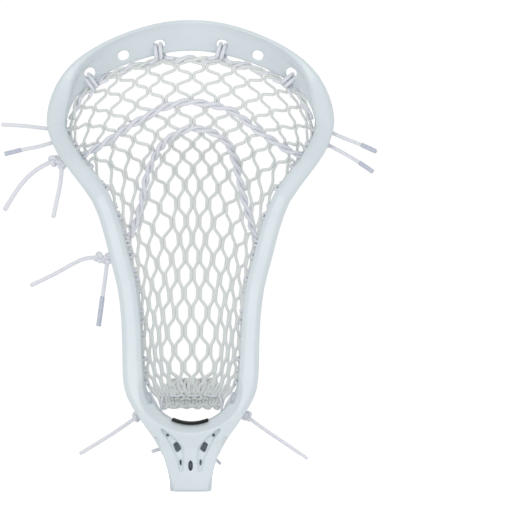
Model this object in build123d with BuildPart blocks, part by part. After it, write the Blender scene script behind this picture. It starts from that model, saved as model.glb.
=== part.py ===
from build123d import *
import math
import os

os.makedirs("parts", exist_ok=True)

# A strung lacrosse head, in millimetres. The origin is the centre of the shaft socket's mouth.
# +Z runs along the shaft's axis to the scoop, the open face is at -Y and the pocket at +Y.

# ---- Driving dimensions ----
RIM_STEPS = 2  # sections of the rim's wall for each row of RIM
PLATE = 3.2  # wall of the scoop
FRONT_RAIL = 7.0  # height of the front rail, along Y
BACK_RAIL = 10.5  # height of the back rail, along Y
BACK_RAIL_WIDTH = 5.2

SHAFT_X = 25.4  # octagonal shaft, one inch across its flats
SHAFT_Y = 28.6
SHAFT_CORNER = 7.0
SOCKET_DEPTH = 42.0

STOP_RADIUS = 33.0  # ball-stop wall, an arc seen from the front
STOP_CENTRE_Z = 82.1
STOP_WALL = 3.2
STOP_BEVEL = 42.0  # slope of the wall's front edge, in degrees
PAD = 1.4

SCREW_Z = 20.4
SCREW_LENGTH = 25.4
SCREW_RADIUS = 2.0
SCREW_HEAD_RADIUS = 3.6
SCREW_HEAD = 2.2
SCREW_HEAD_Y = 18.6

WINDOW_CORNER = 2.0  # corners of the sidewall windows
HOLE_PITCH = 6.2  # stringing holes along the back rail
HOLE_WIDTH = 4.2
HOLE_HEIGHT = 4.6
HOLE_CORNER = 1.0
NET = 2.2  # thickness of the mesh

# Half of the rim, from the middle of the scoop to the throat. Each row is the outer outline's x and z,
# the width of the rim seen from the front, the y of its front and back edges, and its form:
# 0 is the scoop's slanted plate and 1 is a sidewall with a rail along each edge.
RIM = [
    (0.0, 345.0, 22.0, -16.5, -3.0, 0.0),
    (18.0, 343.6, 22.0, -18.6, -3.2, 0.0),
    (36.0, 339.2, 21.5, -23.4, -3.5, 0.0),
    (54.8, 332.0, 20.5, -28.0, -3.8, 0.0),
    (70.0, 324.0, 19.5, -31.6, -4.0, 0.05),
    (82.8, 315.0, 18.5, -34.5, -4.0, 0.2),
    (93.4, 303.6, 17.0, -35.5, -4.0, 0.5),
    (100.8, 290.0, 15.2, -32.8, -3.4, 0.85),
    (104.6, 276.0, 14.0, -27.0, 0.7, 1.0),
    (104.2, 263.0, 13.4, -20.3, 10.5, 1.0),
    (97.6, 247.0, 13.3, -9.5, 20.3, 1.0),
    (86.5, 231.5, 13.2, -0.6, 32.0, 1.0),
    (73.0, 212.6, 13.3, 4.0, 37.8, 1.0),
    (65.5, 193.0, 13.6, 1.7, 36.3, 1.0),
    (59.2, 169.0, 13.8, -1.8, 32.6, 1.0),
    (54.0, 149.0, 13.8, -5.8, 29.5, 1.0),
    (51.2, 127.0, 13.8, -9.6, 26.5, 1.0),
    (50.2, 104.0, 14.2, -14.2, 23.2, 1.0),
    (49.6, 83.0, 14.8, -18.0, 20.8, 1.0),
    (46.6, 69.5, 14.6, -20.3, 20.2, 1.0),
    (38.6, 55.6, 13.0, -21.8, 24.6, 1.0),
    (29.5, 42.8, 10.0, -20.2, 25.6, 1.0),
]

# Sidewall windows, as (y, z) outlines.
WINDOWS = [
    [(-19.5, 288.0), (-23.6, 283.0), (-14.2, 263.7), (-8.6, 255.0), (-2.8, 261.0), (-13.5, 276.0)],
    [(2.2, 254.5), (-2.0, 245.7), (7.9, 228.9), (10.8, 219.0), (21.5, 228.0), (14.1, 239.6)],
    [(25.5, 222.0), (11.9, 212.6), (9.5, 196.7), (6.8, 174.0), (9.8, 173.0), (24.0, 184.0), (26.8, 206.0)],
    [(19.6, 174.5), (5.8, 165.2), (1.1, 146.1), (-2.9, 121.5), (1.9, 121.5), (14.4, 130.0), (21.3, 170.0)],
    [(10.6, 121.0), (-4.6, 113.5), (-8.2, 98.0), (-9.7, 61.5), (4.0, 66.0), (8.0, 89.0), (11.9, 116.0)],
]
HOLE_LINE = [
    (-5.4, 274.5), (13.0, 251.2), (27.3, 234.7), (33.6, 215.0),
    (32.8, 198.3), (25.6, 154.5), (17.1, 98.5), (12.5, 62.5),
]
SCOOP_HOLES = [(23.0, 327.5, -12.0), (49.2, 319.4, -22.0), (73.7, 306.4, -40.0)]  # x, z, tilt

# Half outline of the throat, seen from the front, and its whole outline seen from the side.
THROAT_FRONT = [
    (15.25, 0.0), (15.5, 8.0), (17.0, 16.0), (19.5, 24.5), (22.9, 32.0),
    (27.9, 40.5), (35.6, 51.5), (38.8, 56.0), (33.0, 64.0),
]
THROAT_SIDE = [
    (-17.2, 0.0), (-18.7, 1.5), (-18.7, 32.0), (-21.3, 52.0), (-21.6, 64.0), (25.4, 64.0),
    (27.9, 39.0), (25.6, 37.6), (21.0, 36.0), (20.2, 28.0), (18.7, 14.3), (17.3, 0.0),
]

# Rows of the pocket, from the scoop to the throat. Each is half an ellipse: the half width, y and z at
# the sidewalls, and y and z at the middle.
POCKET = [
    (87.0, -1.0, 273.0, -1.5, 317.3),
    (89.5, 13.0, 263.0, 2.0, 303.0),
    (86.0, 20.5, 254.0, 6.0, 290.0),
    (80.0, 28.5, 244.5, 12.5, 277.0),
    (72.5, 35.0, 233.5, 26.0, 260.0),
    (60.5, 38.8, 214.0, 49.0, 247.0),
    (51.5, 37.8, 192.0, 66.0, 227.0),
    (47.0, 35.5, 176.0, 68.0, 203.0),
    (41.4, 32.2, 154.0, 56.0, 178.0),
    (38.3, 29.2, 131.0, 43.0, 150.0),
    (36.9, 26.4, 110.0, 36.0, 122.0),
    (35.8, 24.0, 90.0, 31.5, 98.0),
    (31.5, 22.6, 76.0, 30.0, 77.5),
    (24.5, 22.6, 68.0, 30.5, 69.0),
    (21.8, 23.0, 60.5, 31.0, 61.0),
]


# ---- Shared geometry ----
def rim_section(width, depth, form, front_lean, back_lean):
    """Sixteen corners, as (inward, back), of the rim's wall."""
    slope = (depth - PLATE) / width
    across = PLATE * math.hypot(1, slope)
    plate = [
        (0.9, 0.0),
        (0.0, 0.9),
        (0.0, 0.6 * across),
        (1.0, 1.0 * slope + across),
        (0.45 * width, 0.45 * width * slope + across),
        (0.6 * width, 0.6 * width * slope + across),
        (width - 1.8, depth - 0.6),
        (width - 1.0, depth),
        (width - 0.3, depth - 0.2),
        (width, depth - 1.0),
        (width - 0.3, (width - 1.4) * slope + 0.6),
        (0.7 * width, 0.7 * width * slope),
        (0.45 * width, 0.45 * width * slope),
        (0.3 * width, 0.3 * width * slope),
        (3.6, 3.6 * slope * 0.8),
        (2.2, 0.2),
    ]
    front = FRONT_RAIL * front_lean
    back = depth - BACK_RAIL * back_lean
    inside = width - BACK_RAIL_WIDTH
    railed = [
        (3.2, 0.0),
        (0.0, 2.6),
        (0.2, front - 0.6),
        (3.0, front + 0.4),
        (inside + 1.1, back - 0.8),
        (inside, back + 0.3),
        (inside + 0.2, depth - 1.3),
        (inside + 1.3, depth),
        (width - 1.1, depth),
        (width, depth - 1.3),
        (width - 0.2, back + 0.8),
        (width - 1.2, back - 0.4),
        (6.5, front + 1.5),
        (width - 0.8, 4.6),
        (width, 2.4),
        (width - 3.4, 0.3),
    ]
    return [(a + (c - a) * form, b + (d - b) * form) for (a, b), (c, d) in zip(plate, railed)]


def mirrored(rows):
    """A half listed from the middle outwards, made whole from left to right."""
    return [(-row[0], *row[1:]) for row in reversed(rows) if row[0] > 0] + list(rows)


def between(rows, steps):
    """The rows with others worked out between them, on a smooth curve through every value."""
    filled = []
    for i in range(len(rows) - 1):
        before = rows[max(i - 1, 0)]
        start = rows[i]
        end = rows[i + 1]
        after = rows[min(i + 2, len(rows) - 1)]
        for k in range(steps):
            t = k / steps
            filled.append(tuple(
                0.5 * (2 * b + (c - a) * t + (2 * a - 5 * b + 4 * c - d) * t**2 + (3 * b - a - 3 * c + d) * t**3)
                for a, b, c, d in zip(before, start, end, after)))
    return filled + [rows[-1]]


def rim_frames(steps):
    """The rim's stations, left throat to right throat: place, inward direction and lean of each edge."""
    rows = between(mirrored(RIM), steps)
    frames = []
    for i, row in enumerate(rows):
        before = rows[max(i - 1, 0)]
        after = rows[min(i + 1, len(rows) - 1)]
        step = math.hypot(after[0] - before[0], after[1] - before[1])
        inward = ((after[1] - before[1]) / step, -(after[0] - before[0]) / step)
        leans = [min(math.hypot(1, (after[k] - before[k]) / step), 1.35) for k in (3, 4)]
        frames.append((row, inward, leans))
    return frames


def largest_radii(points):
    """The largest bend that the runs beside each corner leave room for."""
    runs = [Vector(*b) - Vector(*a) for a, b in zip(points, points[1:])]
    return [0.45 * min(a.length, b.length) / math.tan(math.radians(a.get_angle(b) / 2))
            for a, b in zip(runs, runs[1:])]


def skinned(rings):
    """A solid whose wall of flat facets joins rings of corners, closed at both ends."""
    facets = [Face(Wire.make_polygon(ring, close=True)) for ring in (rings[0], rings[-1])]
    for ring, following in zip(rings, rings[1:]):
        for i, corner in enumerate(ring):
            j = (i + 1) % len(ring)
            facets.append(Face(Wire.make_polygon([corner, ring[j], following[j]], close=True)))
            facets.append(Face(Wire.make_polygon([corner, following[j], following[i]], close=True)))
    return Solid(Shell(facets))


def octagon(half_x, front, back, cut_x, cut_y):
    """Corners of a box with cut corners, as (x, y)."""
    right = [(half_x - cut_x, front), (half_x, front + cut_y), (half_x, back - cut_y), (half_x - cut_x, back)]
    return right + [(-x, y) for x, y in reversed(right)]


def finish(part, name):
    """Label a finished part and write it."""
    part.label = name
    export_step(part, f"parts/{name}.step")


# ---- Head frame ----
SIDE = Plane(origin=(0, 0, 0), x_dir=(0, 1, 0), z_dir=(1, 0, 0))  # its x is the head's +Y, its y is +Z
FACE = Plane(origin=(0, 0, 0), x_dir=(1, 0, 0), z_dir=(0, -1, 0))  # its x is the head's +X, its y is +Z

with BuildPart() as rim:
    rings = []
    for station, inward, leans in rim_frames(RIM_STEPS):
        x, z, width, front_y, back_y, form = station
        section = rim_section(width, back_y - front_y, form, *leans)
        rings.append([Vector(x + inward[0] * a, front_y + b, z + inward[1] * a) for a, b in section])
    add(skinned(rings))

with BuildPart() as throat:
    with BuildSketch(FACE.offset(-30)):
        with BuildLine():
            Polyline(*THROAT_FRONT, *[(-x, z) for x, z in reversed(THROAT_FRONT)], close=True)
        make_face()
    extrude(amount=60)
    with BuildSketch(SIDE.offset(-60)):
        with BuildLine():
            Polyline(*THROAT_SIDE, close=True)
        make_face()
    extrude(amount=120, mode=Mode.INTERSECT)
    for sign_x in (-1, 1):
        for edge_y, toward in ((-18.7, 1), (18.9, -1)):  # the collar's four cut corners, fading upwards
            corner = [(sign_x * 15.3, edge_y), (sign_x * 11.4, edge_y), (sign_x * 15.3, edge_y + toward * 8.9)]
            faded = [(sign_x * 27.0, edge_y), (sign_x * 24.2, edge_y), (sign_x * 27.0, edge_y + toward * 3.0)]
            with BuildSketch(Plane.XY.offset(-0.5)):
                with BuildLine():
                    Polyline(corner[1], corner[2], (sign_x * 60, corner[2][1]),
                             (sign_x * 60, edge_y - toward * 9), (corner[1][0], edge_y - toward * 9), close=True)
                make_face()
            with BuildSketch(Plane.XY.offset(40.0)):
                with BuildLine():
                    Polyline(faded[1], faded[2], (sign_x * 60, faded[2][1]),
                             (sign_x * 60, edge_y - toward * 9), (faded[1][0], edge_y - toward * 9), close=True)
                make_face()
            loft(ruled=True, mode=Mode.SUBTRACT)
    # the space under the ball-stop wall, each side of the shaft socket
    with BuildSketch(FACE.offset(-18)):
        for side in (-1, 1):
            with BuildLine():
                Polyline((side * 15.6, 26.5), (side * 16.8, 26.5), (side * 24.0, 39.5),
                         (side * 31.5, 50.5), (side * 27.0, 54.5), (side * 15.6, 46.5), close=True)
            make_face()
    extrude(amount=33.5, mode=Mode.SUBTRACT)

with BuildLine() as hole_line:
    Spline(*HOLE_LINE)
hole_curve = hole_line.edges()[0]
hole_count = round(hole_curve.length / HOLE_PITCH)
holes = [hole_curve @ (i / hole_count) for i in range(hole_count + 1)]

with BuildPart() as head_frame:
    add(rim.part)
    add(throat.part)
    # ball-stop wall: the arc that the ball rests against, with its front edge bevelled
    with BuildSketch(FACE.offset(-25)) as stop_arc:
        with Locations((0, STOP_CENTRE_Z)):
            Circle(STOP_RADIUS + STOP_WALL)
            Circle(STOP_RADIUS, mode=Mode.SUBTRACT)
        with Locations((0, STOP_CENTRE_Z + 12)):
            Rectangle(100, 60, mode=Mode.SUBTRACT)
    extrude(amount=46)
    with BuildSketch(FACE.offset(-60)):
        with Locations((0, STOP_CENTRE_Z)):
            Circle(STOP_RADIUS)
        with Locations((0, STOP_CENTRE_Z + 40)):
            Rectangle(80, 80, mode=Mode.SUBTRACT)
        with Locations((0, STOP_CENTRE_Z)):
            Rectangle(56, 90, mode=Mode.INTERSECT)
    extrude(amount=120, mode=Mode.SUBTRACT)
    with BuildSketch(FACE.offset(13.4)):
        with Locations((0, STOP_CENTRE_Z)):
            Circle(STOP_RADIUS)
    extrude(amount=12, taper=-STOP_BEVEL, mode=Mode.SUBTRACT)
    # shaft socket
    with BuildSketch(Plane.XY.offset(-1)):
        with BuildLine():
            Polyline(*octagon(SHAFT_X / 2, -SHAFT_Y / 2, SHAFT_Y / 2, 4.0, SHAFT_CORNER), close=True)
        make_face()
    extrude(amount=SOCKET_DEPTH + 1, mode=Mode.SUBTRACT)
    # throat windows: through the collar low down, and through the outer walls only above the socket
    with BuildSketch(SIDE.offset(-60)):
        with BuildLine():
            Polyline((-5.8, 13.6), (3.1, 13.6), (4.1, 41.5), (-7.7, 41.5), close=True)
        make_face()
    extrude(amount=120, mode=Mode.SUBTRACT)
    for start in (-60, 24.5):
        with BuildSketch(SIDE.offset(start)):
            with BuildLine():
                Polyline((-7.7, 41.0), (4.1, 41.0), (3.6, 54.0), (-7.0, 55.0), close=True)
            make_face()
        extrude(amount=35.5, mode=Mode.SUBTRACT)
    # sidewall windows
    for outline in WINDOWS:
        with BuildSketch(SIDE.offset(-120)) as window:
            with BuildLine():
                Polyline(*outline, close=True)
            make_face()
            fillet(window.vertices(), WINDOW_CORNER)
        extrude(amount=240, mode=Mode.SUBTRACT)
    # stringing holes along both back rails
    with BuildSketch(SIDE.offset(-120)):
        with Locations(*holes):
            RectangleRounded(HOLE_WIDTH, HOLE_HEIGHT, HOLE_CORNER)
    extrude(amount=240, mode=Mode.SUBTRACT)
    # six oval holes in the scoop
    with BuildSketch(FACE.offset(-20)):
        for x, z, tilt in SCOOP_HOLES:
            for side in (-1, 1):
                with Locations(Location((side * x, z, 0), (0, 0, side * tilt))):
                    SlotOverall(8.4, 6.5)
    extrude(amount=80, mode=Mode.SUBTRACT)
    # front of the throat: two slanted channels, each with three openings between small ribs
    for side in (-1, 1):
        with BuildSketch(FACE.offset(16.9)):
            with BuildLine():
                Polyline((side * 24.0, 48.6), (side * 16.3, 37.5), (side * 9.9, 24.7),
                         (side * 7.8, 14.4), (side * 6.0, 14.4), (side * 4.8, 25.3),
                         (side * 6.1, 33.0), (side * 12.5, 40.0), (side * 20.2, 45.8), close=True)
            make_face()
        extrude(amount=8, mode=Mode.SUBTRACT)
        with BuildSketch(FACE.offset(8.0)):
            with BuildLine():
                Polyline((side * 12.8, 34.9), (side * 9.9, 37.0), (side * 6.7, 31.4),
                         (side * 10.3, 28.5), close=True)
            make_face()
            with BuildLine():
                Polyline((side * 20.4, 44.8), (side * 16.6, 39.8), (side * 15.2, 41.2), close=True)
            make_face()
            with BuildLine():
                Polyline((side * 8.4, 23.9), (side * 6.5, 23.9), (side * 6.6, 17.0),
                         (side * 7.2, 17.0), close=True)
            make_face()
        extrude(amount=16, mode=Mode.SUBTRACT)
    # plain oval recess between them
    with BuildSketch(FACE.offset(18.0)):
        with Locations((0, 19.2)):
            SlotOverall(8.4, 4.0, rotation=90)
    extrude(amount=6, mode=Mode.SUBTRACT)
    # screw hole through the back wall, with a seat for the head
    with BuildSketch(FACE.offset(-30)):
        with Locations((0, SCREW_Z)):
            Circle(SCREW_RADIUS + 0.15)
    extrude(amount=20, mode=Mode.SUBTRACT)
    with BuildSketch(FACE.offset(-30)):
        with Locations((0, SCREW_Z)):
            Circle(SCREW_HEAD_RADIUS + 0.3)
    extrude(amount=30 - (SCREW_HEAD_Y - SCREW_HEAD) + 0.2, mode=Mode.SUBTRACT)
    # lacing holes in the back lip for the bottom string
    with BuildSketch(FACE.offset(-32)):
        for x, z in ((12.0, 44.6), (24.0, 52.0)):
            with Locations((x, z), (-x, z)):
                Circle(2.0)
    extrude(amount=17, mode=Mode.SUBTRACT)
finish(head_frame.part, "head_frame")

# ---- Ball-stop pad ----
with BuildPart() as ball_stop_pad:
    with BuildSketch(FACE.offset(-12)):
        with BuildLine():
            CenterArc((0, STOP_CENTRE_Z), STOP_RADIUS, 244, 50)
            CenterArc((0, STOP_CENTRE_Z), STOP_RADIUS - PAD, 246, 46)
            Line(Vector(STOP_RADIUS, 0).rotate(Axis.Z, 244) + Vector(0, STOP_CENTRE_Z),
                 Vector(STOP_RADIUS - PAD, 0).rotate(Axis.Z, 246) + Vector(0, STOP_CENTRE_Z))
            Line(Vector(STOP_RADIUS, 0).rotate(Axis.Z, 294) + Vector(0, STOP_CENTRE_Z),
                 Vector(STOP_RADIUS - PAD, 0).rotate(Axis.Z, 292) + Vector(0, STOP_CENTRE_Z))
        make_face()
    extrude(amount=28)
finish(ball_stop_pad.part, "ball_stop_pad")

# ---- Shaft screw ----
with BuildPart() as shaft_screw:
    with BuildSketch(FACE.offset(-SCREW_HEAD_Y)):
        with Locations((0, SCREW_Z)):
            Circle(SCREW_HEAD_RADIUS)
    extrude(amount=SCREW_HEAD)
    with BuildSketch(FACE.offset(-SCREW_HEAD_Y)):
        with Locations((0, SCREW_Z)):
            Circle(SCREW_RADIUS)
    extrude(amount=SCREW_LENGTH)
    chamfer(shaft_screw.faces().sort_by(Axis.Y)[0].edges(), 0.8)
    with BuildSketch(FACE.offset(-SCREW_HEAD_Y - 1)):
        with Locations((0, SCREW_Z)):
            RegularPolygon(1.4, 6)
    extrude(amount=2.4, mode=Mode.SUBTRACT)
finish(shaft_screw.part, "shaft_screw")

# ---- Pocket mesh: a thin closed shell that stands for the net ----
with BuildPart() as pocket_mesh:
    for half_x, side_y, side_z, mid_y, mid_z in POCKET:
        bulge = Vector(0, mid_y - side_y, mid_z - side_z)
        place = Plane(origin=(0, side_y, side_z), x_dir=(1, 0, 0),
                      z_dir=Vector(1, 0, 0).cross(bulge.normalized()))
        with BuildSketch(place):
            with BuildLine():
                EllipticalCenterArc((0, 0), half_x, bulge.length, 0, arc_size=180)
                Line((-half_x, 0), (-half_x + NET, 0))
                EllipticalCenterArc((0, 0), half_x - NET, bulge.length - NET, 0, arc_size=180)
                Line((half_x - NET, 0), (half_x, 0))
            make_face()
    loft()
finish(pocket_mesh.part, "pocket_mesh")

# ---- Mesh tail: the surplus end of the mesh, gathered into a strap behind the pocket ----
TAIL_LINE = [(31.5, 68.0), (38.0, 65.0), (47.0, 63.2), (56.0, 64.0), (66.0, 69.0), (77.0, 78.5)]
with BuildPart() as mesh_tail:
    with BuildSketch(SIDE.offset(-21)):
        with BuildLine() as tail_line:
            Spline(*TAIL_LINE)
        trace(tail_line.line, line_width=4.6)
    extrude(amount=42)
finish(mesh_tail.part, "mesh_tail")


# ---- Cords ----
def cord(route, diameter):
    """A tube of straight runs and the largest tangent bends."""
    radii = largest_radii(route)
    with BuildPart() as tube:
        with BuildLine() as path:
            FilletPolyline(*route, radius=radii)
        with BuildSketch(Plane(origin=path.line @ 0, z_dir=path.line % 0)):
            Circle(diameter / 2)
        sweep(path=path.line)
    measured = tube.part.volume / (math.pi * diameter**2 / 4)
    print("cord", round(path.wires()[0].length, 1), "mm, from its volume", round(measured, 1),
          "radii", [round(r, 1) for r in radii])
    return tube.part


# Woven cords and lacing, which the head holds all the way.
LACING = {
    "top_string": (3.0, [
        (-83.5, -2.5, 279.5), (-77.0, -3.0, 291.0), (-66.5, -3.0, 300.0), (-52.0, -3.0, 307.8),
        (-36.0, -3.0, 313.0), (-18.0, -3.0, 316.0), (0.0, -3.0, 317.0), (18.0, -3.0, 316.0),
        (36.0, -3.0, 313.0), (52.0, -3.0, 307.8), (66.5, -3.0, 300.0), (77.0, -3.0, 291.0),
        (83.5, -2.5, 279.5)]),
    "upper_shooting_string": (4.4, [
        (-81.0, 23.5, 246.5), (-69.0, 22.0, 253.0), (-51.5, 16.8, 264.0), (-40.5, 12.4, 271.5),
        (-23.0, 7.5, 280.5), (-12.5, 5.6, 284.5), (0.0, 4.8, 286.3), (17.5, 6.0, 283.5),
        (30.0, 7.8, 280.0), (37.5, 10.6, 274.5), (46.5, 15.4, 266.5), (62.5, 21.0, 256.5),
        (71.0, 22.8, 250.5), (82.0, 23.5, 246.5)]),
    "lower_shooting_string": (4.4, [
        (-46.0, 42.0, 187.0), (-40.5, 51.5, 201.0), (-37.0, 54.4, 215.5), (-34.0, 50.4, 232.5),
        (-28.0, 41.5, 246.0), (-20.5, 27.5, 257.0), (-11.0, 19.8, 263.0), (-1.0, 16.8, 267.0),
        (9.0, 17.4, 266.0), (20.0, 21.0, 262.5), (28.0, 29.5, 255.0), (31.5, 41.0, 245.0),
        (34.5, 49.3, 234.0), (37.5, 53.4, 220.0), (41.0, 52.0, 206.5), (44.5, 46.6, 194.5),
        (47.5, 38.4, 185.0)]),
    "bottom_string": (2.8, [
        (-28.0, 16.5, 71.0), (-24.5, 21.0, 70.2), (-17.5, 24.6, 70.6), (-8.5, 26.8, 71.4),
        (0.0, 27.6, 71.8), (8.5, 26.8, 71.4), (17.5, 24.6, 70.6), (24.5, 21.0, 70.2),
        (28.0, 16.5, 71.0)]),
}
for name, (diameter, route) in LACING.items():
    finish(cord(route, diameter), name)

# Sidewall strings, behind the back rails from the scoop to the throat.
for side, name in ((-1, "left_sidewall_string"), (1, "right_sidewall_string")):
    lace = []
    for station, inward, leans in rim_frames(1):
        x, z, width, front_y, back_y, form = station
        if x * side > 0 and 60 < z < 280:
            reach = width - BACK_RAIL_WIDTH / 2
            lace.append((x + inward[0] * reach, back_y + 1.7, z + inward[1] * reach))
    finish(cord(lace, 2.8), name)

# The string's loops through the four strung scoop holes.
with BuildPart() as scoop_loops:
    for x, y, z, turn, lean in ((23.0, -7.6, 323.2, -7, 32), (73.2, -13.2, 300.8, -38, 50)):
        for side in (-1, 1):
            ring = Plane(origin=(side * x, y, z), x_dir=(0, 1, 0),
                         z_dir=(math.cos(math.radians(turn)), 0, side * math.sin(math.radians(turn))))
            with Locations(ring):
                Torus(6.4, 1.3)
finish(scoop_loops.part, "scoop_loops")

# Knots: each is a group of fused lumps, as (x, y, z, radius).
KNOTS = {
    "left_upper_stop_knot": [(-100.2, -0.5, 265.6, 3.4)],
    "left_lower_stop_knot": [(-98.6, 5.4, 257.0, 3.4)],
    "left_ball_knot": [(-101.0, 14.0, 243.0, 4.3), (-95.6, 14.8, 240.2, 3.7)],
    "left_double_knot": [(-68.6, 25.5, 171.2, 3.9), (-62.4, 26.0, 170.2, 4.2)],
    "right_upper_stop_knot": [(100.2, -0.5, 264.5, 4.0)],
    "right_lower_stop_knot": [(98.4, 6.5, 255.5, 4.0)],
    "throat_left_knot": [(-39.8, 12.6, 54.0, 3.5)],
    "throat_right_knot": [(41.2, 12.6, 54.0, 3.5)],
    "back_knot": [(-3.0, 27.2, 29.5, 3.6), (2.8, 27.0, 27.4, 3.4)],
}
for name, lumps in KNOTS.items():
    with BuildPart() as knot:
        for turn, (x, y, z, radius) in enumerate(lumps):
            with Locations(Location((x, y, z), (25 + 70 * turn, 40 * turn, 15))):
                Sphere(radius)
    finish(knot.part, name)

# Free tails: diameter, length of the sleeve on its end, and its route from inside its knot.
TAILS = {
    "left_upper_tail": (2.8, 0.0, [
        (-100.2, -0.5, 265.6), (-110.0, -2.4, 266.4), (-124.0, -5.5, 268.2), (-138.6, -7.6, 268.7)]),
    "left_lower_tail": (2.8, 12.0, [
        (-98.6, 5.4, 257.0), (-110.0, 3.4, 253.2), (-123.0, 1.6, 250.9), (-136.4, -1.2, 247.4)]),
    "left_ball_curled_tail": (3.2, 0.0, [
        (-101.0, 14.0, 243.0), (-111.0, 12.6, 238.6), (-121.0, 11.0, 230.6), (-129.5, 9.2, 220.0),
        (-137.6, 7.8, 206.0)]),
    "left_ball_hanging_tail": (3.0, 0.0, [
        (-95.6, 14.8, 240.2), (-96.0, 14.0, 229.0), (-98.6, 12.8, 216.0), (-101.8, 12.2, 200.8)]),
    "left_double_long_tail": (2.9, 0.0, [
        (-68.6, 25.5, 171.2), (-78.0, 24.6, 171.6), (-89.0, 22.8, 166.0), (-104.0, 20.0, 157.4),
        (-118.8, 17.4, 150.6)]),
    "left_double_hanging_tail": (2.9, 21.5, [
        (-62.4, 26.0, 170.2), (-63.6, 25.2, 158.0), (-65.8, 24.2, 143.0), (-68.8, 23.6, 121.0)]),
    "right_upper_tail": (2.8, 12.0, [
        (100.2, -0.5, 264.5), (111.0, -4.4, 259.4), (123.0, -8.6, 254.8), (135.4, -13.6, 249.0)]),
    "right_lower_tail": (2.8, 12.0, [
        (98.4, 6.5, 255.5), (109.0, 2.6, 250.0), (121.0, -1.2, 243.0), (133.4, -4.6, 234.4)]),
    "throat_left_tail": (2.6, 0.0, [
        (-39.8, 12.6, 54.0), (-51.0, 13.2, 45.8), (-66.0, 13.6, 36.2), (-82.2, 13.2, 26.4)]),
    "throat_right_tail": (2.6, 0.0, [
        (41.2, 12.6, 54.0), (53.0, 13.2, 45.0), (69.0, 13.6, 34.4), (86.0, 13.2, 22.6)]),
    "back_left_tail": (2.6, 0.0, [
        (-3.0, 27.2, 29.5), (-12.0, 26.0, 31.0), (-21.0, 23.8, 30.4), (-29.2, 22.4, 27.6)]),
    "back_right_tail": (2.6, 0.0, [
        (2.8, 27.0, 27.4), (10.0, 25.6, 27.2), (16.6, 23.6, 23.8), (21.8, 22.2, 18.2)]),
}
for name, (diameter, sleeve, route) in TAILS.items():
    tail = cord(route, diameter)
    if sleeve:
        end = Vector(*route[-1])
        along = (end - Vector(*route[-2])).normalized()
        with BuildPart() as tip:
            with BuildSketch(Plane(origin=end - along * sleeve, z_dir=along)):
                Circle(diameter / 2 + 0.4)
            extrude(amount=sleeve + 0.4)
        with BuildPart() as bare_tail:
            add(tail)
            add(tip.part, mode=Mode.SUBTRACT)
        finish(tip.part, name + "_sleeve")
        tail = bare_tail.part
    finish(tail, name)
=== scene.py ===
import math
import random

import bmesh
import bpy
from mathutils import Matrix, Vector


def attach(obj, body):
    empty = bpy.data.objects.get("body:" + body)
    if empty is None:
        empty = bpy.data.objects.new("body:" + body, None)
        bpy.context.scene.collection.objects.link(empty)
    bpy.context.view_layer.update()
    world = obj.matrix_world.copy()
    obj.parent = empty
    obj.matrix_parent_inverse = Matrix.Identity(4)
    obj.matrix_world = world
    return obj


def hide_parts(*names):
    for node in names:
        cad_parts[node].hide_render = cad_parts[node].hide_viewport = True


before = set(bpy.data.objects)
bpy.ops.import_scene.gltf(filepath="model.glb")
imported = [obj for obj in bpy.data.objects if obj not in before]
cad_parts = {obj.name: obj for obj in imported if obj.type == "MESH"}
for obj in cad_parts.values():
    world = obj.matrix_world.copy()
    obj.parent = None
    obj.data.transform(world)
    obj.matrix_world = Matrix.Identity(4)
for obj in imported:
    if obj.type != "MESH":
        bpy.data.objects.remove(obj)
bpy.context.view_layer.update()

random.seed(11)
MM = 0.001
BODY = "head"


# ---- Materials ----
def srgb(code):
    """An sRGB hex colour as the linear colour that a shader takes."""
    parts = [int(code[i:i + 2], 16) / 255 for i in (1, 3, 5)]
    return [c / 12.92 if c <= 0.04045 else ((c + 0.055) / 1.055) ** 2.4 for c in parts] + [1.0]


def node(tree, kind, links=None, **settings):
    """Add a shader node, set its fields and sockets, and link its inputs."""
    new = tree.nodes.new(kind)
    for key, value in settings.items():
        if key in new.bl_rna.properties:
            setattr(new, key, value)
        else:
            new.inputs[key.replace("_", " ")].default_value = value
    for socket, source in (links or {}).items():
        tree.links.new(source, new.inputs[socket])
    return new


def new_material(name, roughness, ior=1.5, **settings):
    """A principled material and its tree."""
    material = bpy.data.materials.new(name)
    material.use_nodes = True
    tree = material.node_tree
    shader = tree.nodes["Principled BSDF"]
    shader.inputs["Roughness"].default_value = roughness
    shader.inputs["IOR"].default_value = ior
    for key, value in settings.items():
        shader.inputs[key.replace("_", " ")].default_value = value
    return material, tree, shader


def two_tone(tree, factor, low, high):
    """A colour that runs between two hex colours."""
    ramp = node(tree, "ShaderNodeValToRGB", {"Fac": factor})
    ramp.color_ramp.elements[0].color = srgb(low)
    ramp.color_ramp.elements[1].color = srgb(high)
    return ramp.outputs["Color"]


def moulded_nylon():
    """Injection-moulded nylon: a satin skin with a fine spark-eroded grain and faint flow tones."""
    material, tree, shader = new_material("moulded_nylon", 0.38, 1.53)
    place = node(tree, "ShaderNodeTexCoord").outputs["Object"]
    flow = node(tree, "ShaderNodeTexNoise", {"Vector": place}, Scale=1 / (28 * MM), Detail=2.0)
    colour = two_tone(tree, flow.outputs["Fac"], "#CDD7DC", "#D6DFE3")
    tree.links.new(colour, shader.inputs["Base Color"])
    grain = node(tree, "ShaderNodeTexNoise", {"Vector": place}, Scale=1 / (0.9 * MM), Detail=2.0)
    bump = node(tree, "ShaderNodeBump", {"Height": grain.outputs["Fac"]}, Strength=0.12, Distance=0.15 * MM)
    tree.links.new(bump.outputs["Normal"], shader.inputs["Normal"])
    shade = node(tree, "ShaderNodeMapRange", {"Value": grain.outputs["Fac"]}, To_Min=0.33, To_Max=0.47)
    tree.links.new(shade.outputs["Result"], shader.inputs["Roughness"])
    return material


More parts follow.
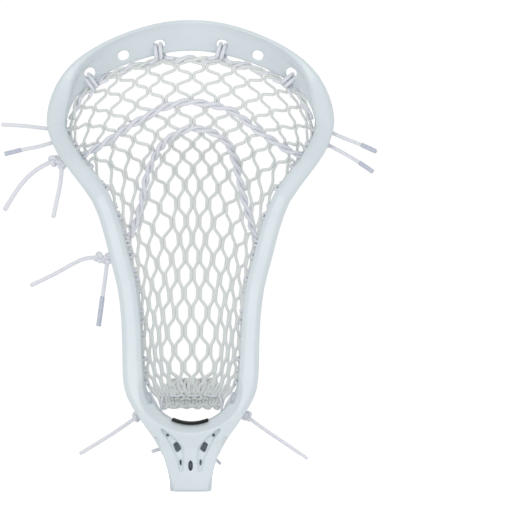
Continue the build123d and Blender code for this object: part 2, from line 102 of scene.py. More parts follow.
def braided(name, low, high, stitch, strands, roughness, depth):
    """Braided yarn: slanted stitches both ways, drawn on the cord's own length and girth in millimetres, with
    painted shade in the grooves between the stitches.
    """
    material, tree, shader = new_material(name, roughness, 1.5, Sheen_Weight=0.25, Sheen_Roughness=0.5)
    along = node(tree, "ShaderNodeUVMap", uv_map="cord").outputs["UV"]
    split = node(tree, "ShaderNodeSeparateXYZ", {"Vector": along})
    turns = node(tree, "ShaderNodeMath", {0: split.outputs["Y"]}, operation="MULTIPLY")
    turns.inputs[1].default_value = strands * 2 * math.pi
    climb = node(tree, "ShaderNodeMath", {0: split.outputs["X"]}, operation="MULTIPLY")
    climb.inputs[1].default_value = 2 * math.pi / stitch
    waves = []
    for way in ("ADD", "SUBTRACT"):
        mix = node(tree, "ShaderNodeMath", {0: climb.outputs[0], 1: turns.outputs[0]}, operation=way)
        waves.append(node(tree, "ShaderNodeMath", {0: mix.outputs[0]}, operation="SINE").outputs[0])
    weave = node(tree, "ShaderNodeMath", {0: waves[0], 1: waves[1]}, operation="MULTIPLY")
    raised = node(tree, "ShaderNodeMapRange", {"Value": weave.outputs[0]}, From_Min=-1.0, From_Max=1.0)
    place = node(tree, "ShaderNodeTexCoord").outputs["Object"]
    fuzz = node(tree, "ShaderNodeTexNoise", {"Vector": place}, Scale=1 / (0.5 * MM), Detail=3.0)
    height = node(tree, "ShaderNodeMath", {0: raised.outputs["Result"], 1: fuzz.outputs["Fac"]},
                  operation="ADD")
    # Painted shade: the grooves between the stitches take the darker colour, the raised stitches the lighter
    # one.
    tree.links.new(two_tone(tree, raised.outputs["Result"], low, high), shader.inputs["Base Color"])
    bump = node(tree, "ShaderNodeBump", {"Height": height.outputs[0]}, Strength=0.7, Distance=depth * MM)
    tree.links.new(bump.outputs["Normal"], shader.inputs["Normal"])
    return material


def cell_foam():
    """Closed-cell rubber foam: matt black with open cut cells, with painted shade darkening the hollow of
    each cell.
    """
    material, tree, shader = new_material("cell_foam", 0.9, 1.5)
    place = node(tree, "ShaderNodeTexCoord").outputs["Object"]
    cells = node(tree, "ShaderNodeTexVoronoi", {"Vector": place}, Scale=1 / (0.7 * MM))
    cut = cells.outputs["Distance"]
    # Painted shade: each cell's hollow takes the darker black, its rim the lighter one.
    tree.links.new(two_tone(tree, cut, "#0B0B0C", "#1A1B1C"), shader.inputs["Base Color"])
    bump = node(tree, "ShaderNodeBump", {"Height": cut}, Strength=0.6, Distance=0.2 * MM)
    tree.links.new(bump.outputs["Normal"], shader.inputs["Normal"])
    return material


def black_oxide():
    """Blackened steel: dark, slightly mottled, with a low gloss."""
    material, tree, shader = new_material("black_oxide_steel", 0.4, 1.5, Metallic=1.0)
    place = node(tree, "ShaderNodeTexCoord").outputs["Object"]
    mottle = node(tree, "ShaderNodeTexNoise", {"Vector": place}, Scale=1 / (1.2 * MM), Detail=3.0)
    tree.links.new(two_tone(tree, mottle.outputs["Fac"], "#141517", "#2A2C2F"), shader.inputs["Base Color"])
    return material


def shrink_tip():
    """Shrunk plastic sleeve over cord: glossy, with the braid telling faintly through."""
    material, tree, shader = new_material("shrink_tip", 0.22, 1.5, Coat_Weight=0.4)
    place = node(tree, "ShaderNodeTexCoord").outputs["Object"]
    ripple = node(tree, "ShaderNodeTexNoise", {"Vector": place}, Scale=1 / (1.6 * MM), Detail=1.0)
    tree.links.new(two_tone(tree, ripple.outputs["Fac"], "#A6ADC0", "#CDD2DE"), shader.inputs["Base Color"])
    bump = node(tree, "ShaderNodeBump", {"Height": ripple.outputs["Fac"]}, Strength=0.3, Distance=0.2 * MM)
    tree.links.new(bump.outputs["Normal"], shader.inputs["Normal"])
    return material


def dark_inlay():
    """The dark oval set into the throat: dark grey-blue, mottled at random."""
    material, tree, shader = new_material("dark_inlay", 0.35)
    place = node(tree, "ShaderNodeTexCoord").outputs["Object"]
    mottle = node(tree, "ShaderNodeTexNoise", {"Vector": place}, Scale=1 / (1.5 * MM), Detail=2.0)
    tree.links.new(two_tone(tree, mottle.outputs["Fac"], "#3A3D45", "#565B66"), shader.inputs["Base Color"])
    return material


def studio_floor():
    """Matt white board that looks as white as the backdrop and lights nothing."""
    material, tree, shader = new_material("studio_floor", 0.9, Emission_Color=(1.0, 1.0, 1.0, 1.0))
    seen = node(tree, "ShaderNodeLightPath").outputs["Is Camera Ray"]
    tree.links.new(seen, shader.inputs["Emission Strength"])
    place = node(tree, "ShaderNodeTexCoord").outputs["Object"]
    tone = node(tree, "ShaderNodeTexNoise", {"Vector": place}, Scale=4.0)
    tree.links.new(two_tone(tree, tone.outputs["Fac"], "#FAFAFA", "#FFFFFF"), shader.inputs["Base Color"])
    return material


NYLON = moulded_nylon()
# The darker colour of each braid is painted shade in the grooves between its stitches.
NETTING = braided("braided_polyester_net", "#D2D8D6", "#F7F9F8", 1.5, 3, 0.75, 0.35)
CORD = braided("braided_nylon_cord", "#CDCFDA", "#F4F5F9", 1.6, 4, 0.55, 0.22)
INLAY = dark_inlay()
FOAM = cell_foam()
STEEL = black_oxide()
TIP = shrink_tip()


# ---- Mesh helpers ----
def add_piece(name, mesh, material, body=BODY):
    """Link a mesh as a piece of the object, with its finish and its body."""
    piece = bpy.data.objects.new(name, mesh)
    bpy.context.scene.collection.objects.link(piece)
    mesh.materials.clear()
    mesh.materials.append(material)
    for face in mesh.polygons:
        face.use_smooth = True
    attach(piece, body)
    return piece


def smooth_line(points, per_run=6):
    """Points, in metres, along the smooth NURBS line that has these millimetre points as its controls."""
    curve = bpy.data.curves.new("line", "CURVE")
    curve.dimensions = "3D"
    spline = curve.splines.new("NURBS")
    spline.points.add(len(points) - 1)
    for control, place in zip(spline.points, points):
        control.co = (*(Vector(place) * MM), 1.0)
    spline.order_u = 3
    spline.use_endpoint_u = True
    spline.resolution_u = per_run
    holder = bpy.data.objects.new("line", curve)
    bpy.context.scene.collection.objects.link(holder)
    bpy.context.view_layer.update()
    mesh = bpy.data.meshes.new_from_object(holder)
    line = [v.co.copy() for v in mesh.vertices]
    bpy.data.objects.remove(holder)
    bpy.data.curves.remove(curve)
    bpy.data.meshes.remove(mesh)
    return line


def sweep(work, layer, line, radius, sides=8, flat=1.0, facing=None, start=0.0):
    """Sweep a round or flattened section along a line into a bmesh. facing turns its flat side."""
    rings = []
    side = Vector((0.0, 0.0, 1.0))
    length = start
    lengths = []
    last = len(line) - 1
    for i, place in enumerate(line):
        along = (line[min(i + 1, last)] - line[max(i - 1, 0)]).normalized()
        if facing is not None:
            side = facing(place)
        side = side - along * side.dot(along)
        if side.length < 1e-6:
            side = along.orthogonal()
        side.normalize()
        across = along.cross(side)
        if i:
            length += (place - line[i - 1]).length
        lengths.append(length)
        girth = radius(i / last) if callable(radius) else radius
        ring = []
        for k in range(sides):
            turn = 2 * math.pi * k / sides
            ring.append(work.verts.new(place + across * math.cos(turn) * girth
                                       + side * math.sin(turn) * girth * flat))
        rings.append(ring)
    for i in range(last):
        for k in range(sides):
            j = (k + 1) % sides
            face = work.faces.new((rings[i][k], rings[i][j], rings[i + 1][j], rings[i + 1][k]))
            marks = ((lengths[i], k), (lengths[i], k + 1), (lengths[i + 1], k + 1), (lengths[i + 1], k))
            for loop, (run, step) in zip(face.loops, marks):
                loop[layer].uv = (run / MM, step / sides)
    for ring, place, way in ((rings[0], line[0], -1), (rings[-1], line[-1], 1)):
        middle = work.verts.new(place)
        for k in range(sides):
            pair = (ring[k], ring[(k + 1) % sides])
            face = work.faces.new((middle, *(pair if way > 0 else pair[::-1])))
            for loop in face.loops:
                loop[layer].uv = (lengths[0 if way < 0 else -1] / MM, 0.5)


def cord_mesh(name, strands, **shape):
    """One mesh of swept strands, each a (line, radius) pair."""
    work = bmesh.new()
    layer = work.loops.layers.uv.new("cord")
    for line, radius in strands:
        sweep(work, layer, line, radius, **shape)
    bmesh.ops.recalc_face_normals(work, faces=work.faces)
    mesh = bpy.data.meshes.new(name)
    work.to_mesh(mesh)
    work.free()
    return mesh


def twisted(points, spread, pitch, phase=0.0):
    """Two lines that wind round a route, spread and pitch in millimetres."""
    line = smooth_line(points, 12)
    pair = [[], []]
    run = 0.0
    side = Vector((0.0, 1.0, 0.0))
    for i, place in enumerate(line):
        along = (line[min(i + 1, len(line) - 1)] - line[max(i - 1, 0)]).normalized()
        side = (side - along * side.dot(along)).normalized()
        across = along.cross(side)
        if i:
            run += (place - line[i - 1]).length
        turn = 2 * math.pi * run / (pitch * MM) + phase
        for k, strand in enumerate(pair):
            angle = turn + math.pi * k
            strand.append(place + (across * math.cos(angle) + side * math.sin(angle)) * spread * MM)
    return pair


# ---- Head frame ----
def select_only(piece):
    """Make this piece the only one selected, and the active one."""
    bpy.ops.object.select_all(action="DESELECT")
    piece.select_set(True)
    bpy.context.view_layer.objects.active = piece


MOST_FACES = 92000  # of a remeshed piece, once it is thinned
FRAME_VOXEL = 0.65
PAD_VOXEL = 0.45
SOFTENING = 4


def melted_copy(node_name, name, material, voxel):
    """A CAD node's shape with every edge run round, standing for that node."""
    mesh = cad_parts[node_name].data.copy()
    work = bmesh.new()
    work.from_mesh(mesh)
    bmesh.ops.remove_doubles(work, verts=work.verts, dist=0.002 * MM)
    work.to_mesh(mesh)
    work.free()
    piece = add_piece(name, mesh, material)
    select_only(piece)
    melt = piece.modifiers.new("melt", "REMESH")
    melt.mode = "VOXEL"
    melt.voxel_size = voxel * MM
    bpy.ops.object.modifier_apply(modifier=melt.name)
    soften = piece.modifiers.new("soften", "CORRECTIVE_SMOOTH")
    soften.factor = 0.5
    soften.iterations = SOFTENING
    soften.use_only_smooth = True
    bpy.ops.object.modifier_apply(modifier=soften.name)
    thin = piece.modifiers.new("thin", "DECIMATE")
    thin.ratio = min(1.0, MOST_FACES / len(piece.data.polygons))
    bpy.ops.object.modifier_apply(modifier=thin.name)
    for face in piece.data.polygons:
        face.use_smooth = True
    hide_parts(node_name)
    return piece


frame_voxel = FRAME_VOXEL
melted_copy("head_frame", "moulded_frame", NYLON, frame_voxel)
pad = melted_copy("ball_stop_pad", "foam_pad", FOAM, PAD_VOXEL)


SCREW_Z = 20.4
OVAL_Z = 19.2


def oval_inlay():
    """A pointed oval, slightly domed, at the bottom of the throat's recess."""
    work = bmesh.new()
    half_x, half_z, rim_y, crown_y = 1.8, 4.4, -18.3, -18.95
    count = 32
    ring = []
    for k in range(count):
        turn = 2 * math.pi * k / count
        x = half_x * math.sin(turn) * abs(math.sin(turn)) ** 0.8
        ring.append(work.verts.new(Vector((x, rim_y, OVAL_Z + half_z * math.cos(turn))) * MM))
    crown = work.verts.new(Vector((0.0, crown_y, OVAL_Z)) * MM)
    for k in range(count):
        work.faces.new((ring[k], ring[(k + 1) % count], crown))
    work.faces.new(ring[::-1])
    bmesh.ops.recalc_face_normals(work, faces=work.faces)
    mesh = bpy.data.meshes.new("oval_inlay")
    work.to_mesh(mesh)
    work.free()
    return mesh


add_piece("oval_inlay", oval_inlay(), INLAY)


# ---- Pocket surface ----
# Rows from the scoop to the throat: half width, y and z at the sidewalls, y and z at the middle.
POCKET = [
    (87.0, -1.0, 273.0, -1.5, 317.3),
    (89.5, 13.0, 263.0, 2.0, 303.0),
    (86.0, 20.5, 254.0, 6.0, 290.0),
    (80.0, 28.5, 244.5, 12.5, 277.0),
    (72.5, 35.0, 233.5, 26.0, 260.0),
    (60.5, 38.8, 214.0, 49.0, 247.0),
    (51.5, 37.8, 192.0, 66.0, 227.0),
    (47.0, 35.5, 176.0, 68.0, 203.0),
    (41.4, 32.2, 154.0, 56.0, 178.0),
    (38.3, 29.2, 131.0, 43.0, 150.0),
    (36.9, 26.4, 110.0, 36.0, 122.0),
    (35.8, 24.0, 90.0, 31.5, 98.0),
    (31.5, 22.6, 76.0, 30.0, 77.5),
    (24.5, 22.6, 68.0, 30.5, 69.0),
    (21.8, 23.0, 60.5, 31.0, 61.0),
]


def pocket_row(at):
    """The pocket's row at a whole or part number."""
    i = min(max(int(at), 0), len(POCKET) - 2)
    t = at - i
    rows = [POCKET[min(max(i + k, 0), len(POCKET) - 1)] for k in (-1, 0, 1, 2)]
    return [0.5 * (2 * b + (c - a) * t + (2 * a - 5 * b + 4 * c - d) * t * t
                   + (3 * b - a - 3 * c + d) * t ** 3)
            for a, b, c, d in zip(*rows)]


def row_at_height(height):
    """The row whose middle is at this height, in millimetres."""
    low, high = 0.0, float(len(POCKET) - 1)
    for _ in range(30):
        middle = (low + high) / 2
        if pocket_row(middle)[4] > height:
            low = middle
        else:
            high = middle
    return low


def pocket_point(across, at):
    """A millimetre point of the pocket. across runs from -1 to 1 by distance along the row."""
    half, side_y, side_z, mid_y, mid_z = pocket_row(at)
    deep = math.hypot(mid_y - side_y, mid_z - side_z)
    steps = 48
    turns = [-math.pi / 2 + math.pi * k / steps for k in range(steps + 1)]
    runs = [0.0]
    for a, b in zip(turns, turns[1:]):
        step_x = half * (math.sin(b) - math.sin(a))
        step_deep = deep * (math.cos(b) - math.cos(a))
        runs.append(runs[-1] + math.hypot(step_x, step_deep))
    goal = (across + 1) / 2 * runs[-1]
    k = max(i for i in range(steps + 1) if runs[i] <= goal + 1e-9)
    k = min(k, steps - 1)
    turn = turns[k] + (turns[k + 1] - turns[k]) * (goal - runs[k]) / (runs[k + 1] - runs[k])
    bulge = max(math.cos(turn), 0.0)
    return Vector((half * math.sin(turn), side_y + (mid_y - side_y) * bulge,
                   side_z + (mid_z - side_z) * bulge))


def outward(place):
    """The pocket's outward direction near a place, for turning flat strands."""
    centre = Vector((0.0, -0.01, place.z - 0.01))
    return (place - centre).normalized()


def place_at(x, at):
    """The pocket's millimetre point at this x on a row."""
    low, high = -1.0, 1.0
    for _ in range(24):
        middle = (low + high) / 2
        if pocket_point(middle, at).x < x:
            low = middle
        else:
            high = middle
    return pocket_point(low, at)


# ---- Net ----
CELLS = 10
NET_HEIGHTS = [316.8, 311.5, 304.7, 296.6, 288, 280, 272, 264, 255.4, 247, 237.8, 226, 212.8, 198.8,
               185.6, 171.6, 158.7, 144.7, 131.2, 116.8, 102.9, 90, 80, 74.5, 70, 66, 62.6]
# How wide the middle three cells are beside the mean, at heights down the middle of the net.
MIDDLE_CELLS = [(300, 1.0), (262, 0.98), (200, 0.76), (171, 0.88),
                (130, 1.36), (100, 1.66), (84, 1.5), (70, 1.0)]
GATHERED = 76.0  # below this the strands lie side by side
LEG = 1.25  # radius of a strand
JOINT = 1.15  # how far each of a joint's two strands lies from its column
HALF_JOINT = 0.3  # of the way to the next joint
PAIR_SHARE = 0.19  # of the columns' spacing, where the net is drawn in


def columns(height):
    """Where the joints' columns lie across the net at a height, from -1 to 1."""
    middle = MIDDLE_CELLS[0][1] if height > MIDDLE_CELLS[0][0] else MIDDLE_CELLS[-1][1]
    for (top, above), (low, below) in zip(MIDDLE_CELLS, MIDDLE_CELLS[1:]):
        if low <= height <= top:
            middle = below + (above - below) * (height - low) / (top - low)
    count = 2 * CELLS
    edge = 0.95 if middle > 1.0 else 1.0
    side = (count - 6 * middle - 4 * edge) / (count - 10)
    widths = [edge if min(k, count - 1 - k) < 2 else middle if abs(k - CELLS + 0.5) < 3 else side
              for k in range(count)]
    places = [-1.0]
    for width in widths:
        places.append(places[-1] + 2 * width / count)
    return places


def net_strands():
    """Each strand zigzags between two columns, and neighbours run side by side at every joint."""
    rows = [row_at_height(z) for z in NET_HEIGHTS]
    spread = [columns(z) for z in NET_HEIGHTS]
    wander = [[random.uniform(-0.011, 0.011) for _ in range(2 * CELLS + 1)] for _ in rows]
    strands = []
    for k in range(2 * CELLS):
        points = []
        for j, at in enumerate(rows):
            column = k if (k + j) % 2 == 0 else k + 1
            hand = 1 if column == k else -1
            inside = 0 < column < 2 * CELLS
            across = spread[j][column] + (wander[j][column] if inside else 0.0)
            if NET_HEIGHTS[j] < GATHERED:
                across = (spread[j][k] + spread[j][k + 1]) / 2
                hand = 0
            before = rows[max(j - 1, 0)]
            after = rows[min(j + 1, len(rows) - 1)]
            width = (pocket_point(spread[j][k + 1], at) - pocket_point(spread[j][k], at)).length
            beside_by = min(JOINT, PAIR_SHARE * width) * hand
            for step in (-HALF_JOINT, 0.0, HALF_JOINT):
                row = at + step * (after - at if step > 0 else at - before)
                place = pocket_point(across, row)
                right = pocket_point(min(across + 0.01, 1.0), row)
                beside = right - pocket_point(max(across - 0.01, -1.0), row)
                place += beside.normalized() * beside_by
                if step < 0 and points:  # keeps each leg straight between its joints
                    points += [points[-1].lerp(place, 0.3), points[-1].lerp(place, 0.7)]
                points.append(place)
        strands.append((smooth_line(points, 2), LEG * MM))
    return strands


def edge_strands():
    """The net's own border: down both sides, and doubled along the top and the bottom."""
    last = len(POCKET) - 1.02
    strands = []
    for side in (-1, 1):
        points = [pocket_point(side, 0.1 + i * (last - 0.1) / 30)
                  + Vector((side * 0.5 * math.sin(2.4 * i), 0, 0)) for i in range(31)]
        strands.append((smooth_line(points, 4), 1.35 * MM))
    top = [pocket_point(-1 + i / 14, 0.02) for i in range(29)]
    strands += [(line, 1.45 * MM) for line in twisted(top, 1.15, 26.0)]
    bottom = [pocket_point(-1 + i / 12, last) + Vector((0, 0, 0.9 * math.cos(1.6 * i))) for i in range(25)]
    strands += [(line, 1.3 * MM) for line in twisted(bottom, 0.9, 15.0)]
    return strands


net_mesh = cord_mesh("pocket_net", net_strands() + edge_strands(), flat=0.8, facing=outward)
net = add_piece("pocket_net", net_mesh, NETTING)
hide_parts("pocket_mesh")

# ---- Mesh tail ----
TAIL_LINE = [(28.0, 69.0), (31.5, 67.5), (38.0, 65.0), (47.0, 63.2), (56.0, 64.0), (66.0, 69.0), (76.0, 77.4)]
TAIL_HALF = 18.5
TAIL_STRANDS = 18
TAIL_LAYERS = (-2.4, 0.0, 2.4)


def along_tail(t):
    """A place on the tail's middle line, with t from 0 to 1, and the direction out of its flat side."""
    t = t * (len(TAIL_LINE) - 1)
    i = min(int(t), len(TAIL_LINE) - 2)
    start = Vector((0.0, *TAIL_LINE[i]))
    end = Vector((0.0, *TAIL_LINE[i + 1]))
    return start.lerp(end, t - i), (end - start).cross(Vector((1.0, 0.0, 0.0))).normalized()


def tail_mesh():
    """The surplus net: layers of strands drawn into a rumpled strap, with a border at its end."""
    strands = []
    for layer in TAIL_LAYERS:
        for k in range(TAIL_STRANDS):
            points = []
            for j in range(14):
                place, out = along_tail(j / 13)
                hand = 1 if (k + j) % 2 else -1
                x = -TAIL_HALF + 2 * TAIL_HALF * k / (TAIL_STRANDS - 1) + hand * 0.9
                rumple = 0.7 * math.sin(k * 2.2 + j * 0.9 + layer) + random.uniform(-0.3, 0.3)
                points.append(place + Vector((x, 0.0, 0.0)) + out * (layer + rumple))
            strands.append((smooth_line(points, 4), 1.25 * MM))
    for t, lift in ((0.99, 2.2), (1.0, -2.2)):
        place, out = along_tail(t)
        border = [place + out * lift
                  + Vector((-TAIL_HALF + 2 * TAIL_HALF * k / 20, 0.5 * math.sin(2.0 * k), 0.0))
                  for k in range(21)]
        strands += [(line, 1.2 * MM) for line in twisted(border, 0.8, 13.0)]
    return cord_mesh("net_tail", strands, flat=0.8)


tail = add_piece("net_tail", tail_mesh(), NETTING)
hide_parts("mesh_tail")

# ---- Strings that the head holds all the way ----
UPPER_SHOOTER = [
    (-81.0, 23.5, 246.5), (-69.0, 22.0, 253.0), (-51.5, 16.8, 264.0), (-40.5, 12.4, 271.5),
    (-23.0, 7.5, 280.5), (-12.5, 5.6, 284.5), (0.0, 4.8, 286.3), (17.5, 6.0, 283.5),
    (30.0, 7.8, 280.0), (37.5, 10.6, 274.5), (46.5, 15.4, 266.5), (62.5, 21.0, 256.5),
    (71.0, 22.8, 250.5), (82.0, 23.5, 246.5)]
LOWER_SHOOTER = [
    (-46.0, 42.0, 187.0), (-40.5, 51.5, 201.0), (-37.0, 54.4, 215.5), (-34.0, 50.4, 232.5),
    (-28.0, 41.5, 246.0), (-20.5, 27.5, 257.0), (-11.0, 19.8, 263.0), (-1.0, 16.8, 267.0),
    (9.0, 17.4, 266.0), (20.0, 21.0, 262.5), (28.0, 29.5, 255.0), (31.5, 41.0, 245.0),
    (34.5, 49.3, 234.0), (37.5, 53.4, 220.0), (41.0, 52.0, 206.5), (44.5, 46.6, 194.5),
    (47.5, 38.4, 185.0)]


def cord_piece(name, strands, *stands_for, material=CORD, slot="string_cord", **shape):
    """A piece of swept strands that stands for these CAD nodes."""
    piece = add_piece(name, cord_mesh(name, strands, **shape), material)
    if stands_for:
        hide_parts(*stands_for)
    return piece


SHOOTER = 1.5  # radius of each of its two strands, and of their twist
for name, route, pitch, node_name in (
        ("upper_shooting_cord", UPPER_SHOOTER, 25.0, "upper_shooting_string"),
        ("lower_shooting_cord", LOWER_SHOOTER, 23.0, "lower_shooting_string")):
    cord_piece(name, [(line, SHOOTER * MM) for line in twisted(route, SHOOTER, pitch)], node_name)
TOP_EDGE = [pocket_point(-1 + i / 14, 0.02) for i in range(29)]
cord_piece("top_lacing", [(twisted(TOP_EDGE, 2.1, 21.0)[0], 1.15 * MM)], "top_string")

# The bottom string goes in and out of the gathered net, and its ends run down to the frame's lip.
WOVEN_ROW = row_at_height(68.6)
woven = []
for i in range(23):
    x = -22 + 2 * i
    shown = -17.5 < x < -7 or -3 < x < 5.5 or 10.5 < x < 19
    place = place_at(x, WOVEN_ROW)
    woven.append(place + Vector((0.0, -2.9 if shown else 2.2, 0.0)))
cord_piece("bottom_lacing", [(smooth_line(woven, 4), 0.95 * MM)], "bottom_string")
for side, name in ((-1, "left_lip_lacing"), (1, "right_lip_lacing")):
    down = [(side * 20.5, 27.0, 69.5), (side * 21.8, 20.0, 67.5), (side * 22.4, 18.6, 62.0),
            (side * 22.6, 19.5, 56.5), (side * 22.8, 23.5, 52.2)]
    slanted = [(side * 31.0, 21.5, 71.5), (side * 28.5, 20.0, 66.5), (side * 25.5, 20.5, 61.5),
               (side * 24.2, 23.5, 56.0)]
    cord_piece(name, [(smooth_line(down, 8), 1.05 * MM), (smooth_line(slanted, 8), 1.2 * MM)])

# More of it comes through the lip's holes and runs over the back to its knot.
lip = []
for side in (-1, 1):
    for x, z, drop in ((12.0, 44.6, 0.0), (24.0, 52.0, 1.5)):
        lip.append([(side * x, 21.0, z), (side * x, 27.0, z + 0.4), (side * (x - 1.6), 29.6, z - 2.0),
                    (side * (0.5 * x), 29.8, 38.0 + drop), (side * 2.6, 28.8, 31.5),
                    (side * 1.0, 27.6, 29.0)])
cord_piece("back_lip_lacing", [(smooth_line(route, 8), 1.2 * MM) for route in lip])


# ---- Sidewall strings ----
SIDE_LACE = [(93.3, 2.4, 274.6), (93.7, 12.2, 265.5), (88.3, 22.0, 252.2), (77.9, 33.7, 237.6),
             (63.6, 39.5, 217.7), (55.0, 38.0, 196.3), (48.4, 34.3, 171.8), (43.0, 31.2, 151.1),
             (40.0, 28.2, 127.9), (38.6, 24.9, 104.4), (37.5, 22.5, 84.3), (35.4, 21.9, 73.8)]
LOOP_HEIGHTS = [266.0, 254.5, 250.5, 237.0, 220.5, 199.7, 183.0, 180.0, 171.0, 154.5, 123.5, 96.0, 78.5]
HITCH_HEIGHTS = (248, 240, 227, 210, 204, 190, 176, 162, 147, 132, 115, 88)


def lace_place(height, side):
    """The sidewall string's place at a height, and its direction downwards."""
    for (xa, ya, za), (xb, yb, zb) in zip(SIDE_LACE, SIDE_LACE[1:]):
        if zb <= height <= za:
            t = (za - height) / (za - zb)
            place = Vector((side * (xa + (xb - xa) * t), ya + (yb - ya) * t, height))
            return place, Vector((side * (xb - xa), yb - ya, zb - za)).normalized()
    raise ValueError(height)


def rail_loop(height, side):
    """One turn of cord through a hole in the back rail and round the rail's back edge."""
    place, down = lace_place(height, side)
    inward = down.cross(Vector((0.0, 1.0, 0.0))).normalized() * side
    if inward.x * side > 0:
        inward = -inward
    middle = place + Vector((0.0, -2.6, 0.0))
    count = 14
    points = []
    for i in range(count + 1):
        turn = 2 * math.pi * i / count
        points.append(middle + inward * 4.3 * math.cos(turn) + Vector((0.0, 1.0, 0.0)) * 5.0 * math.sin(turn)
                      + down * 1.5 * (i / count - 0.5))
    return smooth_line(points, 4)


def gather_loop(height, side):
    """A hitch that draws the net's border to the string."""
    place, down = lace_place(height, side)
    points = []
    for i in range(13):
        turn = 2 * math.pi * i / 12
        points.append(place + Vector((-side * 1.2, 1.2, 0.0))
                      + Vector((3.0 * math.cos(turn), 3.0 * math.sin(turn), 0.0))
                      + down * 2.4 * (i / 12 - 0.5))
    return smooth_line(points, 4)


for side, name in ((-1, "left"), (1, "right")):
    route = [(side * x, y, z) for x, y, z in SIDE_LACE]
    strands = [(line, 1.3 * MM) for line in twisted(route, 1.05, 24.0, phase=side)]
    strands += [(rail_loop(z, side), 1.25 * MM) for z in LOOP_HEIGHTS]
    strands += [(gather_loop(z, side), 1.2 * MM) for z in HITCH_HEIGHTS]
    cord_piece(name + "_sidewall_cord", strands, name + "_sidewall_string")


# ---- Loops of the top string round the scoop's edge ----
def scoop_loop(x, y, z, tilt):
    """Two turns through a scoop hole and round the edge below it, with both ends run out along the net."""
    along = Vector((math.cos(tilt), 0.0, -math.sin(tilt)))
    up = Vector((math.sin(tilt), 0.0, math.cos(tilt)))
    middle = Vector((x, y, z))
    points = [middle - along * 9.5 - up * 7.5 + Vector((0.0, 1.0, 0.0))]
    for i in range(21):
        turn = -math.pi / 2 + 2 * math.pi * i / 10
        points.append(middle + along * 7.2 * (i / 20 - 0.5) + up * 5.6 * math.sin(turn)
                      - Vector((0.0, 1.0, 0.0)) * 5.4 * math.cos(turn))
    points.append(middle + along * 9.5 - up * 7.5 + Vector((0.0, 1.0, 0.0)))
    return smooth_line(points, 5)


loops = []
for x, y, z, tilt in ((23.0, -6.8, 322.6, 0.2), (72.6, -11.0, 300.6, 0.75)):
    loops += [(scoop_loop(side * x, y, z, side * tilt), 1.35 * MM) for side in (-1, 1)]
cord_piece("scoop_lacing", loops, "scoop_loops")


# ---- Knots and tails ----
KNOTS = {
    "left_upper_stop_knot": [(-100.2, -0.5, 265.6, 3.4)],
    "left_lower_stop_knot": [(-98.6, 5.4, 257.0, 3.4)],
    "left_ball_knot": [(-101.0, 14.0, 243.0, 4.3), (-95.6, 14.8, 240.2, 3.7)],
    "left_double_knot": [(-68.6, 25.5, 171.2, 3.9), (-62.4, 26.0, 170.2, 4.2)],
    "right_upper_stop_knot": [(100.2, -0.5, 264.5, 4.0)],
    "right_lower_stop_knot": [(98.4, 6.5, 255.5, 4.0)],
    "throat_left_knot": [(-39.8, 12.6, 54.0, 3.5)],
    "throat_right_knot": [(41.2, 12.6, 54.0, 3.5)],
    "back_knot": [(-3.0, 27.2, 29.5, 3.6), (2.8, 27.0, 27.4, 3.4)],
}


def overhand(x, y, z, reach, girth, turn):
    """A tight overhand knot: a trefoil pulled in until its turns touch."""
    axis = Vector((0.35 * math.sin(turn), -1.0, 0.3 * math.cos(turn))).normalized()
    right = axis.cross(Vector((math.sin(turn), 0.0, math.cos(turn)))).normalized()
    up = right.cross(axis)
    size = (reach + 0.8 - girth) / 3
    points = []
    for i in range(37):
        t = 2 * math.pi * i / 36
        points.append(Vector((x, y, z)) + right * size * (math.sin(t) + 2 * math.sin(2 * t))
                      + up * size * (math.cos(t) - 2 * math.cos(2 * t))
                      - axis * girth * 1.05 * math.sin(3 * t))
    return smooth_line(points, 3)


KNOT_GIRTH = 1.6  # radius of the cord in the knots
for order, (name, lumps) in enumerate(KNOTS.items()):
    strands = [(overhand(*lump, KNOT_GIRTH, order * 1.1 + 2.0 * i), KNOT_GIRTH * MM)
               for i, lump in enumerate(lumps)]
    cord_piece(name + "_wrapped", strands, name, sides=10)

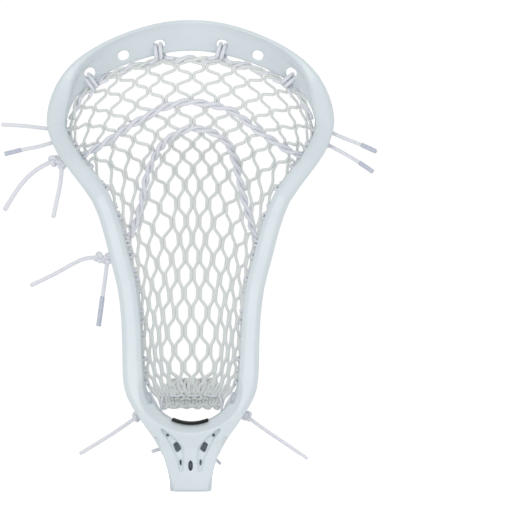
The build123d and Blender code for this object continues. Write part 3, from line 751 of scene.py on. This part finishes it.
# Free tails: diameter, length of the sleeve on the end, and the route from inside the knot.
TAILS = {
    "left_upper_tail": (2.8, 0.0, [
        (-100.2, -0.5, 265.6), (-110.0, -2.4, 266.4), (-124.0, -5.5, 268.2), (-138.6, -7.6, 268.7)]),
    "left_lower_tail": (2.8, 12.0, [
        (-98.6, 5.4, 257.0), (-110.0, 3.4, 253.2), (-123.0, 1.6, 250.9), (-136.4, -1.2, 247.4)]),
    "left_ball_curled_tail": (3.2, 0.0, [
        (-101.0, 14.0, 243.0), (-111.0, 12.6, 238.6), (-121.0, 11.0, 230.6), (-129.5, 9.2, 220.0),
        (-137.6, 7.8, 206.0)]),
    "left_ball_hanging_tail": (3.0, 0.0, [
        (-95.6, 14.8, 240.2), (-96.0, 14.0, 229.0), (-98.6, 12.8, 216.0), (-101.8, 12.2, 200.8)]),
    "left_double_long_tail": (2.9, 0.0, [
        (-68.6, 25.5, 171.2), (-78.0, 24.6, 171.6), (-89.0, 22.8, 166.0), (-104.0, 20.0, 157.4),
        (-118.8, 17.4, 150.6)]),
    "left_double_hanging_tail": (2.9, 21.5, [
        (-62.4, 26.0, 170.2), (-63.6, 25.2, 158.0), (-65.8, 24.2, 143.0), (-68.8, 23.6, 121.0)]),
    "right_upper_tail": (2.8, 12.0, [
        (100.2, -0.5, 264.5), (111.0, -4.4, 259.4), (123.0, -8.6, 254.8), (135.4, -13.6, 249.0)]),
    "right_lower_tail": (2.8, 12.0, [
        (98.4, 6.5, 255.5), (109.0, 2.6, 250.0), (121.0, -1.2, 243.0), (133.4, -4.6, 234.4)]),
    "throat_left_tail": (2.6, 0.0, [
        (-39.8, 12.6, 54.0), (-51.0, 13.2, 45.8), (-66.0, 13.6, 36.2), (-82.2, 13.2, 26.4)]),
    "throat_right_tail": (2.6, 0.0, [
        (41.2, 12.6, 54.0), (53.0, 13.2, 45.0), (69.0, 13.6, 34.4), (86.0, 13.2, 22.6)]),
    "back_left_tail": (2.6, 0.0, [
        (-3.0, 27.2, 29.5), (-12.0, 26.0, 31.0), (-21.0, 23.8, 30.4), (-29.2, 22.4, 27.6)]),
    "back_right_tail": (2.6, 0.0, [
        (2.8, 27.0, 27.4), (10.0, 25.6, 27.2), (16.6, 23.6, 23.8), (21.8, 22.2, 18.2)]),
}


def melted_end(girth):
    """A cord's radius along it, swollen at the end where it was sealed with a flame."""
    return lambda t: girth * MM * (1.0 + 0.14 * max(0.0, (t - 0.93) / 0.07) * (t < 0.985)
                                   - 0.12 * (t >= 0.985))


def crimped(girth):
    """A tip's radius along it, drawn in at both ends."""
    return lambda t: girth * MM * (0.93 if t < 0.06 or t > 0.95 else 1.0)


for name, (diameter, sleeve, route) in TAILS.items():
    line = smooth_line(route, 10)
    girth = diameter / 2
    tail = cord_piece(name + "_cord", [(line, girth * MM if sleeve else melted_end(girth))], name, sides=12)
    if sleeve:
        end = Vector(route[-1])
        along = (end - Vector(route[-2])).normalized()
        start = end - along * sleeve
        tube = [(start + along * sleeve * 1.03 * i / 14) * MM for i in range(15)]
        cord_piece(name + "_tip", [(tube, crimped(girth + 0.35))], name + "_sleeve",
                                material=TIP, slot="lace_tip", sides=14)


# ---- Screw thread ----
def thread():
    """A ridge wound round the screw's shank."""
    first, last, pitch, radius = -5.6, 13.0, 1.2, 1.86
    turns = (last - first) / pitch
    points = []
    for i in range(int(turns * 12) + 1):
        turn = 2 * math.pi * i / 12
        place = (radius * math.cos(turn), first + pitch * i / 12, SCREW_Z + radius * math.sin(turn))
        points.append(Vector(place) * MM)
    return cord_mesh("screw_thread", [(points, 0.3 * MM)], sides=6)


add_piece("screw_thread", thread(), STEEL, body="screw")

# ---- Finishes on the CAD parts that stay ----
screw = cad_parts["shaft_screw"]
screw.data.materials.clear()
screw.data.materials.append(STEEL)

# ---- Floor, lights and camera ----
bpy.ops.object.select_all(action="DESELECT")
bpy.ops.mesh.primitive_circle_add(vertices=96, radius=0.6, fill_type="NGON", location=(0.0, 0.0, -0.003))
floor = bpy.context.active_object
floor.name = "studio_floor"
floor.data.materials.append(studio_floor())

world = bpy.data.worlds.new("studio")
bpy.context.scene.world = world
world.use_nodes = True
backdrop = world.node_tree.nodes["Background"]
backdrop.inputs["Color"].default_value = (1.0, 1.0, 1.0, 1.0)
seen = node(world.node_tree, "ShaderNodeLightPath").outputs["Is Camera Ray"]
level = node(world.node_tree, "ShaderNodeMapRange", {"Value": seen}, To_Min=0.77, To_Max=1.02)
world.node_tree.links.new(level.outputs["Result"], backdrop.inputs["Strength"])
bpy.context.scene.view_settings.view_transform = "Standard"


def lamp(name, place, aim, size, power):
    """A square soft light at a place, turned to a point."""
    light = bpy.data.lights.new(name, "AREA")
    light.size = size
    light.energy = power
    holder = bpy.data.objects.new(name, light)
    bpy.context.scene.collection.objects.link(holder)
    holder.location = place
    holder.rotation_euler = (Vector(aim) - Vector(place)).to_track_quat("-Z", "Y").to_euler()


lamp("key", (-0.12, -1.6, 0.5), (0.0, 0.0, 0.2), 0.5, 6.6)
lamp("rim", (0.7, 1.1, 0.8), (0.0, 0.0, 0.2), 0.6, 3.0)

VIEW_WIDTH = 0.3763
DISTANCE = 3.0
camera_data = bpy.data.cameras.new("camera")
camera_data.sensor_width = 36.0
camera_data.lens = 36.0 * DISTANCE / VIEW_WIDTH
camera_data.clip_end = 20.0
camera = bpy.data.objects.new("camera", camera_data)
bpy.context.scene.collection.objects.link(camera)
camera.location = (0.0478, -DISTANCE, 0.1724)
camera.rotation_euler = (math.pi / 2, 0.0, 0.0)
bpy.context.scene.camera = camera
